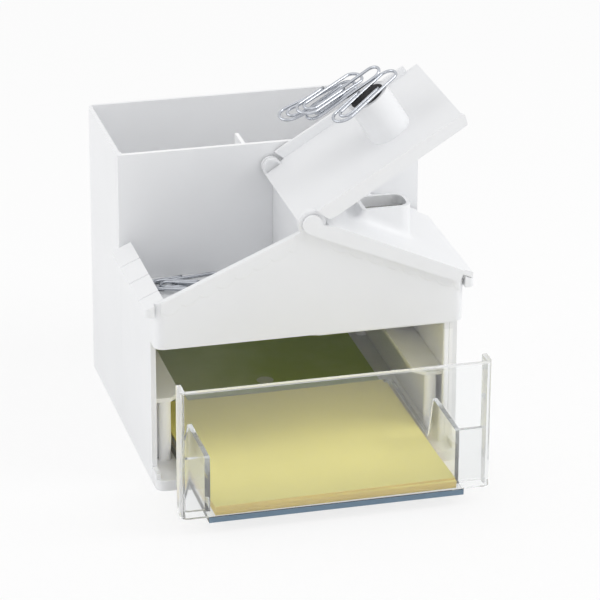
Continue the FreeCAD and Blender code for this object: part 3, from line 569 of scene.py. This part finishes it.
def tape_film(group):
    """Clear film, faintly amber where it is wound, with the turns showing as rings on the side."""
    finish = Finish("tape_film").set(IOR=1.47, Transmission_Weight=0.7)
    colour = tuple(group.film_colour)
    across = finish.math("SUBTRACT", finish.axis("Y"), SPOOL_AXIS[0] * MM)
    rise = finish.math("SUBTRACT", finish.axis("Z"), SPOOL_AXIS[1] * MM)
    square = finish.math(
        "ADD", finish.math("MULTIPLY", across, across), finish.math("MULTIPLY", rise, rise))
    turns = finish.math("SINE", finish.math("MULTIPLY", finish.math("SQRT", square), RING_RATE))
    rings = finish.math("MULTIPLY", turns, RING_TONE)
    uneven = finish.math("ADD", rings, finish.noise(4 * MM, 3))
    finish.two_tone(uneven, toned(colour, 0.86), toned(colour, 1.04))
    finish.link(finish.spread(finish.noise(2 * MM, 3), 0.12, 0.24), "Roughness")
    finish.relief(turns, 0.01 * MM)
    return finish.material


def core_card(group):
    """Grey-brown card with flecks."""
    finish = Finish("core_card").set(Roughness=0.95, Specular_IOR_Level=0.1)
    colour = tuple(group.card_colour)
    finish.two_tone(finish.noise(0.9 * MM, 5), toned(colour, 0.8), toned(colour, 1.2))
    finish.relief(finish.noise(0.6 * MM, 4), 0.03 * MM)
    return finish.material


def soften(node, radius):
    """Rounds the sharp edges of a moulding."""
    bevel = node.modifiers.new("edges", "BEVEL")
    bevel.width = radius
    bevel.segments = 2
    bevel.limit_method = "ANGLE"
    bevel.angle_limit = math.radians(50)
    bevel.use_clamp_overlap = True


def dress(nodes, material):
    """Gives CAD nodes their finish."""
    for name in nodes:
        node = frame["nodes"][name]
        node.data.materials.clear()
        node.data.materials.append(material)


# ---------------------------------------------------------------- shapes


def grid_faces(rows, columns, closed=False):
    """Quads of a grid of points numbered row by row; closed joins the last column to the first."""
    row = np.arange(rows - 1)[:, None]
    column = np.arange(columns if closed else columns - 1)[None, :]
    here = row * columns + column
    there = row * columns + (column + 1) % columns
    return np.stack((here, there, there + columns, here + columns), axis=-1).reshape(-1, 4)


def add_piece(name, points, faces, material, body, smooth=True):
    """Mesh object from point and face arrays that rides on a body."""
    mesh = bpy.data.meshes.new(name)
    mesh.from_pydata(points.tolist(), [], [list(face) for face in faces])
    mesh.polygons.foreach_set("use_smooth", np.full(len(mesh.polygons), smooth))
    mesh.materials.append(material)
    mesh.update()
    piece = bpy.data.objects.new(name, mesh)
    bpy.context.collection.objects.link(piece)
    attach(piece, body)
    return piece


def clip_line(step=0.35):
    """Middle line of a paper clip in its own plane, in millimetres, with its unit directions.

    Four straight runs along x are joined by three half circles, each turning back towards the
    run before it; along a run the point moves evenly, and on a bend it follows radius times the
    cosine and sine of an angle that grows evenly.
    """
    wide = CLIP_HALF_WIDTH
    middle, small = wide - CLIP_PITCH / 2, wide - CLIP_PITCH
    left = wide - CLIP_HALF_LENGTH
    inner = left + CLIP_PITCH
    right = CLIP_HALF_LENGTH - middle
    high = 2 * middle - wide
    runs = ((CLIP_OUTER_END, left, wide), (left, right, -wide), (right, inner, high),
            (inner, CLIP_INNER_END, high - 2 * small))
    bends = ((left, 0.0, wide, 90), (right, middle - wide, middle, -90),
             (inner, high - small, small, 90), None)
    points = []
    for (start, end, y), bend in zip(runs, bends):
        x = np.linspace(start, end, max(2, int(abs(end - start) / step / 4)))
        points.append(np.column_stack((x, np.full_like(x, y))))
        if bend is not None:
            centre_x, centre_y, radius, first = bend
            count = int(math.pi * radius / step)
            angle = np.radians(np.linspace(first, first + 180, count + 2)[1:-1])
            points.append(np.column_stack(
                (centre_x + radius * np.cos(angle), centre_y + radius * np.sin(angle))))
    line = np.concatenate(points)
    ahead = np.gradient(line, axis=0)
    return line, ahead / np.linalg.norm(ahead, axis=1)[:, None]


def clip_tube(sides=14):
    """Wire round the middle line of a clip: a ring of points square to the line at each point."""
    line, ahead = clip_line()
    across = np.column_stack((-ahead[:, 1], ahead[:, 0]))
    angle = np.linspace(0, 2 * math.pi, sides, endpoint=False)
    flat = line[:, None, :] + WIRE_RADIUS * np.cos(angle)[None, :, None] * across[:, None, :]
    level = np.broadcast_to(WIRE_RADIUS * np.sin(angle), flat.shape[:2])
    points = np.concatenate((flat, level[..., None]), axis=-1).reshape(-1, 3)
    faces = [tuple(face) for face in grid_faces(len(line), sides, closed=True)]
    faces.append(tuple(range(sides))[::-1])
    faces.append(tuple(range(len(points) - sides, len(points))))
    return points, faces


def placed_clips(places):
    """One mesh for several clips, each turned and moved by its own matrix, in metres."""
    tube, faces = clip_tube()
    homogeneous = np.column_stack((tube * MM, np.ones(len(tube))))
    points = [(homogeneous @ np.array(place).T)[:, :3] for place in places]
    shifted = [[index + number * len(tube) for index in face]
               for number in range(len(places)) for face in faces]
    return np.concatenate(points), shifted


def at(x, y, z):
    """A move given in millimetres."""
    return Matrix.Translation((x * MM, y * MM, z * MM))


def spun(degrees, axis):
    """A turn about an axis through the origin."""
    return Matrix.Rotation(math.radians(degrees), 4, axis)


def magnet_places():
    """Matrices of the clips on the magnet: first in the lid's frame, then turned open with it."""
    lid = at(0, 0, RIDGE_HEIGHT) @ spun(-LID_ANGLE, "Y")
    top = MAGNET_TOP + WIRE_RADIUS + CLIP_GAP
    return [lid @ at(u, GABLE_FACE + setback, top + height)
            @ spun(turn, "Z") @ spun(-rise, "Y") @ spun(roll, "X")
            for u, setback, height, turn, rise, roll in MAGNET_CLIPS]


def tray_places():
    """Matrices of the clips that lie in the tray, some across others."""
    low = TRAY_FLOOR + WIRE_RADIUS + CLIP_GAP
    return [at(TRAY_LEFT + x, GABLE_FACE + setback, low + layer * (2 * WIRE_RADIUS + CLIP_GAP))
            @ spun(turn, "Z") for x, setback, layer, turn in TRAY_CLIPS]


def tile_relief(group, sign, nearest):
    """Row of round-ended roof tiles standing out of the gable, just below its sloping edge.

    Across, x runs from the flat under the ridge to the corner. Down, v runs from the edge of the
    gable to the end of the tile: the end is a row of equal circle arcs that meet in points. The
    face stands out by the rise over most of v and rolls back into the gable at both ends.
    """
    (top_x, top_z), (end_x, end_z) = (np.array(corner) * MM for corner in (TILE_START, TILE_END))
    radius = group.tile_pitch * TILE_ROUND
    x = np.linspace(top_x, end_x, 420)
    off = (x - nearest) % group.tile_pitch
    off = np.minimum(off, group.tile_pitch - off)
    depth = group.tile_depth - radius + np.sqrt(radius ** 2 - off ** 2)
    edge = top_z + (x - top_x) * (end_z - top_z) / (end_x - top_x)
    v = np.concatenate((
        np.linspace(0, TILE_TOP_ROLL, 4),
        np.linspace(0.1, 0.9, 9),
        np.linspace(1 - TILE_END_ROLL, 1, 6)))
    roll = np.clip(np.minimum(v / TILE_TOP_ROLL, (1 - v) / TILE_END_ROLL), 0, 1)
    rise = group.tile_rise * np.sqrt(1 - (1 - roll) ** 2) - TILE_SINK * MM
    rise = np.repeat(rise[:, None], len(x), axis=1)
    rise[:, [0, -1]] = -TILE_SINK * MM
    points = np.stack((
        np.broadcast_to(sign * x, rise.shape),
        GABLE_FACE * MM - rise,
        edge[None, :] - v[:, None] * depth[None, :]), axis=-1).reshape(-1, 3)
    faces = grid_faces(len(v), len(x))
    return points, faces if sign < 0 else faces[:, ::-1]


def flange_bar():
    """Upright bar on the inner side of the right leg.

    Its outline runs along the front face, where a groove dips in as a bell curve about its line,
    turns the inner corner on a quarter circle and comes back along the rear face.
    """
    front_x = np.linspace(FLANGE_RIGHT, FLANGE_LEFT + FLANGE_CORNER, 40)
    off = (front_x - FLANGE_LEFT - GROOVE_PLACE) / GROOVE_WIDTH
    dip = GROOVE_DEPTH * np.exp(-(off ** 2))
    angle = np.linspace(0, math.pi / 2, 7)[1:]
    turn_x = FLANGE_LEFT + FLANGE_CORNER * (1 - np.sin(angle))
    turn_y = FLANGE_FRONT + FLANGE_CORNER * (1 - np.cos(angle))
    x = np.concatenate((front_x, turn_x, [FLANGE_LEFT, FLANGE_RIGHT]))
    y = np.concatenate((FLANGE_FRONT + dip, turn_y, [FLANGE_FRONT + FLANGE_THICK] * 2))
    levels = [np.column_stack((x, y, np.full(len(x), z))) for z in (FLANGE_LOW, FLANGE_HIGH)]
    count = len(x)
    sides = grid_faces(2, count, closed=True)[:, ::-1]
    faces = [*sides, np.arange(count), np.arange(count)[::-1] + count]
    return np.concatenate(levels) * MM, faces


def sheet_box(side, low, thick, turn, shift, lift, count=15):
    """One sheet as a closed box whose two faces are grids.

    The far left corner lifts by the cube of the distance along the diagonal towards it.
    """
    run = np.linspace(-0.5, 0.5, count)
    x, y = np.meshgrid(run, run)
    raised = low + lift * np.clip((y - x), 0, 1) ** 3
    cosine, sine = math.cos(math.radians(turn)), math.sin(math.radians(turn))
    flat_x = (x * cosine - y * sine) * side + shift[0]
    flat_y = (x * sine + y * cosine) * side + shift[1]
    lower = np.stack((flat_x, flat_y, raised), axis=-1).reshape(-1, 3)
    upper = lower + (0, 0, thick)
    faces = grid_faces(count, count)
    index = np.arange(count * count).reshape(count, count)
    rim = np.concatenate((index[0, :-1], index[:-1, -1], index[-1, :0:-1], index[:0:-1, 0]))
    beyond = np.roll(rim, -1)
    walls = np.stack((rim, beyond, beyond + count * count, rim + count * count), axis=-1)
    return np.concatenate((lower, upper)), np.concatenate(
        (faces[:, ::-1], faces + count * count, walls))


def sheet_stack(group, low, high, middle):
    """A pad of sheets: a squared lower part, and a few upper sheets turned and slid a little."""
    thick = (high - low) / group.sheets
    noise = np.random.default_rng(7)
    loose = group.sheets - LOOSE_SHEETS
    points, faces, used = [], [], 0
    for number in range(group.sheets):
        slide = noise.uniform(-SHEET_SLIDE, SHEET_SLIDE, 2) * MM
        turn = PAD_TURN + noise.uniform(-SHEET_TURN, SHEET_TURN)
        lift = 0.0
        if number >= loose:
            slide = slide + np.array(LOOSE_SLIDE) * MM
            turn += LOOSE_TURN
            lift = group.curl
        shift = (middle[0] + slide[0], middle[1] + slide[1])
        more, sides = sheet_box(
            group.side, low + number * thick, thick * SHEET_FILL, turn, shift, lift)
        points.append(more)
        faces.append(sides + used)
        used += len(more)
    return np.concatenate(points), np.concatenate(faces)


# ---------------------------------------------------------------- stage


def turned(side, rise, away):
    """Turn whose columns are three unit directions."""
    return Matrix((side, rise, away)).transposed().to_4x4()


def area_lamp(name, place, size, power):
    """A square lamp at a place, turned to the object."""
    data = bpy.data.lights.new(name, "AREA")
    data.size = size
    data.energy = power
    lamp = bpy.data.objects.new(name, data)
    bpy.context.collection.objects.link(lamp)
    away = np.array(place, float) - np.array(LAMP_AIM, float)
    away /= np.linalg.norm(away)
    side = np.cross((0, 0, 1), away)
    side /= np.linalg.norm(side)
    lamp.matrix_world = Matrix.Translation(place) @ turned(side, np.cross(away, side), away)


def seen_directly(tree):
    """The light path node, and 1 where the camera sees a point itself or through clear plastic."""
    path = tree.nodes.new("ShaderNodeLightPath")
    return path, reckon(
        tree, "MAXIMUM", path.outputs["Is Camera Ray"], path.outputs["Is Transmission Ray"])


def blend_shaders(tree, share, first, second, output):
    """Feeds an output node with a blend of two shaders."""
    mix = tree.nodes.new("ShaderNodeMixShader")
    for socket, source in zip(mix.inputs, (share, first, second)):
        tree.links.new(source, socket)
    tree.links.new(mix.outputs[0], tree.nodes[output].inputs["Surface"])


def floor_material(colour):
    """Pale floor that keeps its shadow and shows the camera a white ground."""
    material = bpy.data.materials.new("floor")
    material.use_nodes = True
    tree = material.node_tree
    shader = tree.nodes["Principled BSDF"]
    shader.inputs["Base Color"].default_value = (*colour, 1)
    shader.inputs["Roughness"].default_value = 0.9
    shader.inputs["Specular IOR Level"].default_value = 0.1
    glow = tree.nodes.new("ShaderNodeEmission")
    glow.inputs["Strength"].default_value = 1.0
    direct = seen_directly(tree)[1]
    share = reckon(tree, "MULTIPLY", direct, FLOOR_GLOW)
    blend_shaders(tree, share, shader.outputs[0], glow.outputs[0], "Material Output")
    return material


def add_floor(context, colour):
    """Square floor, far larger than the view."""
    mesh = bpy.data.meshes.new("floor")
    corners = [(x * FLOOR_REACH, y * FLOOR_REACH, 0) for x, y in ((-1, -1), (1, -1), (1, 1), (-1, 1))]
    mesh.from_pydata(corners, [], [(0, 1, 2, 3)])
    mesh.materials.append(floor_material(colour))
    floor = bpy.data.objects.new("floor", mesh)
    context.collection.objects.link(floor)


def add_room(context, strength):
    """Even light from all round; the room itself looks white, also in reflections."""
    world = bpy.data.worlds.new("room")
    context.scene.world = world
    world.use_nodes = True
    tree = world.node_tree
    room = tree.nodes["Background"]
    bright = tree.nodes.new("ShaderNodeBackground")
    for background, level in ((room, strength), (bright, 1.0)):
        background.inputs["Color"].default_value = (1, 1, 1, 1)
        background.inputs["Strength"].default_value = level
    path, direct = seen_directly(tree)
    share = reckon(tree, "MAXIMUM", direct, path.outputs["Is Glossy Ray"])
    blend_shaders(tree, share, room.outputs[0], bright.outputs[0], "World Output")


def add_camera(context, stage):
    """Camera at its place, turned by azimuth and elevation about the object and then by its roll."""
    azimuth, elevation, roll = stage.azimuth, stage.elevation, stage.roll
    back = np.array((
        math.sin(azimuth) * math.cos(elevation),
        -math.cos(azimuth) * math.cos(elevation),
        math.sin(elevation)))
    right = np.array((math.cos(azimuth), math.sin(azimuth), 0.0))
    up = np.cross(back, right)
    right, up = (
        math.cos(roll) * right + math.sin(roll) * up,
        math.cos(roll) * up - math.sin(roll) * right)
    data = bpy.data.cameras.new("camera")
    data.lens = stage.lens
    data.sensor_width = SENSOR_WIDTH
    data.shift_x, data.shift_y = CAMERA_SHIFT
    data.clip_start, data.clip_end = VIEW_DEPTH
    camera = bpy.data.objects.new("camera", data)
    context.collection.objects.link(camera)
    camera.matrix_world = Matrix.Translation(stage.position) @ turned(right, up, back)
    context.scene.camera = camera


# ---------------------------------------------------------------- operators


class ORGANIZER_OT_stage(bpy.types.Operator):
    """Lay the floor, hang the lamps and set up the camera"""

    bl_idname = "organizer.stage"
    bl_label = "Floor, light and view"

    def execute(self, context):
        stage = context.scene.organizer_stage
        add_floor(context, stage.floor_colour)
        add_room(context, stage.room_light)
        for name, place, size, power in LAMPS:
            area_lamp(name, place, size, getattr(stage, power))
        add_camera(context, stage)
        context.scene.view_settings.view_transform = "Standard"
        return {"FINISHED"}


class ORGANIZER_OT_white_mouldings(bpy.types.Operator):
    """Finish the white mouldings: both shells, tray, well, lid, cover, guides and eaves"""

    bl_idname = "organizer.white_mouldings"
    bl_label = "White mouldings"

    def execute(self, context):
        group = context.scene.organizer_white
        dress(WHITE_NODES, white_plastic(group))
        dress(("base_plate",), bay_painted_shade_plastic(group))
        for name in (*WHITE_NODES, "base_plate"):
            soften(frame["nodes"][name], group.edge_round)
        return {"FINISHED"}


class ORGANIZER_OT_gable_tiles(bpy.types.Operator):
    """Raise the two rows of roof tiles on the gable"""

    bl_idname = "organizer.gable_tiles"
    bl_label = "Gable tiles"

    def execute(self, context):
        group = context.scene.organizer_white
        material = frame["nodes"]["front_shell"].active_material
        for name, sign, nearest in (("gable_tiles_left", -1, 4.5), ("gable_tiles_right", 1, 3.0)):
            points, faces = tile_relief(group, sign, nearest * MM)
            add_piece(name, points, faces, material, "housing")
        return {"FINISHED"}


class ORGANIZER_OT_leg_flange(bpy.types.Operator):
    """Add the upright bar on the inner side of the right leg"""

    bl_idname = "organizer.leg_flange"
    bl_label = "Leg flange"

    def execute(self, context):
        material = frame["nodes"]["front_shell"].active_material
        points, faces = flange_bar()
        add_piece("leg_flange", points, faces, material, "housing", smooth=False)
        return {"FINISHED"}


class ORGANIZER_OT_drawer(bpy.types.Operator):
    """Finish the clear drawer"""

    bl_idname = "organizer.drawer"
    bl_label = "Clear drawer"

    def execute(self, context):
        dress(("drawer",), clear_plastic(context.scene.organizer_clear))
        return {"FINISHED"}


class ORGANIZER_OT_note_pad(bpy.types.Operator):
    """Stack the sheets of the note pad where its plain block lies"""

    bl_idname = "organizer.note_pad"
    bl_label = "Note pad"

    def execute(self, context):
        group = context.scene.organizer_paper
        low, high = (np.array(corner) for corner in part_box("note_pad"))
        points, faces = sheet_stack(group, low[2], high[2], (low + high) / 2)
        pad = add_piece(
            "note_sheets", points, faces, paper(group), "drawer", smooth=False)
        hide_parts("note_pad")
        return {"FINISHED"}


class ORGANIZER_OT_metalwork(bpy.types.Operator):
    """Bend the paper clips, and finish the pins, screws, tear blade and magnet"""

    bl_idname = "organizer.metalwork"
    bl_label = "Clips, pins and magnet"

    def execute(self, context):
        group = context.scene.organizer_metal
        wire = plated_wire(group)
        for node, body, places in (("clips_on_magnet", "clip_lid", magnet_places()),
                                   ("clips_in_tray", "housing", tray_places())):
            points, faces = placed_clips(places)
            clips = add_piece(node + "_wire", points, faces, wire, body)
            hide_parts(node)
        dress(STEEL_NODES, plain_steel(group))
        dress(("lid_magnet",), ferrite(group))
        return {"FINISHED"}


class ORGANIZER_OT_tape(bpy.types.Operator):
    """Finish the tape roll, its free end and its core"""

    bl_idname = "organizer.tape"
    bl_label = "Tape roll"

    def execute(self, context):
        group = context.scene.organizer_tape
        dress(("tape_roll", "tape_tail"), tape_film(group))
        dress(("tape_core",), core_card(group))
        return {"FINISHED"}


# ---------------------------------------------------------------- panel


OPERATORS = (
    ORGANIZER_OT_stage,
    ORGANIZER_OT_white_mouldings,
    ORGANIZER_OT_gable_tiles,
    ORGANIZER_OT_leg_flange,
    ORGANIZER_OT_drawer,
    ORGANIZER_OT_note_pad,
    ORGANIZER_OT_metalwork,
    ORGANIZER_OT_tape,
)
SETTINGS = (
    ("organizer_white", OrganizerWhite),
    ("organizer_clear", OrganizerClear),
    ("organizer_paper", OrganizerPaper),
    ("organizer_metal", OrganizerMetal),
    ("organizer_tape", OrganizerTape),
    ("organizer_stage", OrganizerStage),
)


class ORGANIZER_PT_pieces(bpy.types.Panel):
    """Lists the pieces of the organizer"""

    bl_idname = "ORGANIZER_PT_pieces"
    bl_label = "Desk organizer"
    bl_space_type = "VIEW_3D"
    bl_region_type = "UI"
    bl_category = "Organizer"

    def draw(self, context):
        for operator in OPERATORS:
            self.layout.operator(operator.bl_idname)
        for name, group in SETTINGS:
            box = self.layout.box()
            for field in group.__annotations__:
                box.prop(getattr(context.scene, name), field)


def register():
    """Registers the settings, the operators and the panel."""
    for name, group in SETTINGS:
        bpy.utils.register_class(group)
        setattr(bpy.types.Scene, name, bpy.props.PointerProperty(type=group))
    for operator in OPERATORS:
        bpy.utils.register_class(operator)
    bpy.utils.register_class(ORGANIZER_PT_pieces)


def unregister():
    """Takes everything out again."""
    bpy.utils.unregister_class(ORGANIZER_PT_pieces)
    for operator in reversed(OPERATORS):
        bpy.utils.unregister_class(operator)
    for name, group in reversed(SETTINGS):
        delattr(bpy.types.Scene, name)
        bpy.utils.unregister_class(group)


def main():
    """Makes everything in order."""
    register()
    for operator in OPERATORS:
        group, name = operator.bl_idname.split(".")
        getattr(getattr(bpy.ops, group), name)()


if __name__ == "__main__":
    main()
